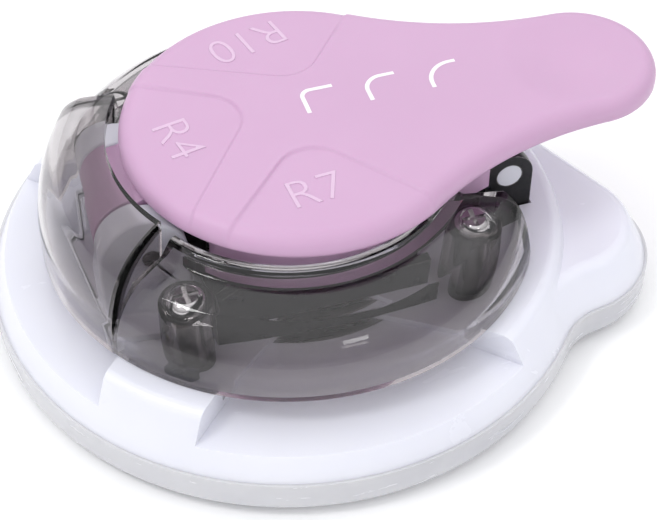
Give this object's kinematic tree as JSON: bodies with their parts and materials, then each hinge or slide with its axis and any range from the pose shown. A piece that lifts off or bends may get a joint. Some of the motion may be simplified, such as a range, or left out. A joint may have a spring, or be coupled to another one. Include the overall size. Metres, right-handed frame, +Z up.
{
  "type": "corner rounder",
  "caption": "Desk corner rounder: round white base with a side lobe, smoked housing and a pink press lever that drives small, medium and large corner punches.",
  "frame": {"origin": "centre of the round base, on the surface that the feet stand on", "axes": "+Z up, +X towards the lever's handle, -Y towards the medium-radius station"},
  "size_m": [0.1177, 0.104, 0.0403],
  "materials": {
    "tray_plastic": "frosted",
    "white_plastic": "glossy",
    "smoke_plastic": "clear smoked",
    "pink_plastic": "satin",
    "black_steel": "satin black oxide",
    "bare_steel": "ground",
    "spring_steel": "bright",
    "screw_chrome": "polished",
    "foot_rubber": "matte"
  },
  "bodies": {
    "tray": {"chip_tray": "tray_plastic", "foot_1": "foot_rubber", "foot_2": "foot_rubber", "foot_3": "foot_rubber", "foot_4": "foot_rubber", "foot_5": "foot_rubber"},
    "press": {"base_shell": "white_plastic", "die_plate": "bare_steel", "guide_frame": "black_steel", "clamp_screw_1": "screw_chrome", "clamp_screw_2": "screw_chrome", "clamp_screw_3": "screw_chrome", "upper_deck": "white_plastic", "lever_pin": "bare_steel", "housing": "smoke_plastic", "housing_screw_1": "screw_chrome", "housing_screw_2": "screw_chrome", "housing_screw_3": "screw_chrome", "housing_screw_4": "screw_chrome", "spring_r4": "spring_steel", "spring_r7": "spring_steel", "spring_r10": "spring_steel", "arm_spring": "spring_steel"},
    "lever": {"lever_cap": "pink_plastic", "lever_core": "pink_plastic", "core_screw_1": "screw_chrome", "core_screw_2": "screw_chrome", "core_screw_3": "screw_chrome", "presser_pin": "bare_steel"},
    "arm": {"press_arm": "white_plastic"},
    "punch_r4": {"punch_r4": "bare_steel"},
    "punch_r7": {"punch_r7": "bare_steel"},
    "punch_r10": {"punch_r10": "bare_steel"}
  },
  "joints": [
    {"name": "tray_release", "type": "slide", "parent": "tray", "child": "press", "axis": [0, 0, 1], "range_m": [0, 0.025]},
    {"name": "lever_press", "type": "hinge", "parent": "press", "child": "lever", "pos_m": [-0.0278, 0, 0.028], "axis": [0, 1, 0], "range_deg": [0, 3], "stiffness_Nm_per_rad": 4, "springref_deg": -2.86},
    {"name": "arm_press", "type": "hinge", "parent": "press", "child": "arm", "pos_m": [0.0368, 0, 0.025], "axis": [0, 1, 0], "range_deg": [-3.75, 0], "deforming": ["arm_spring"]},
    {"name": "punch_r4_slide", "type": "slide", "parent": "press", "child": "punch_r4", "axis": [0, 0, -1], "range_m": [0, 0.00325], "deforming": ["spring_r4"]},
    {"name": "punch_r7_slide", "type": "slide", "parent": "press", "child": "punch_r7", "axis": [0, 0, -1], "range_m": [0, 0.00242], "deforming": ["spring_r7"]},
    {"name": "punch_r10_slide", "type": "slide", "parent": "press", "child": "punch_r10", "axis": [0, 0, -1], "range_m": [0, 0.00242], "deforming": ["spring_r10"]}
  ],
  "couplings": [
    {"joint": "arm_press", "follows": "lever_press", "ratio": -1.2431},
    {"joint": "punch_r4_slide", "follows": "lever_press", "m_per_rad": 0.061283},
    {"joint": "punch_r7_slide", "follows": "lever_press", "m_per_rad": 0.045744},
    {"joint": "punch_r10_slide", "follows": "lever_press", "m_per_rad": 0.045744}
  ]
}
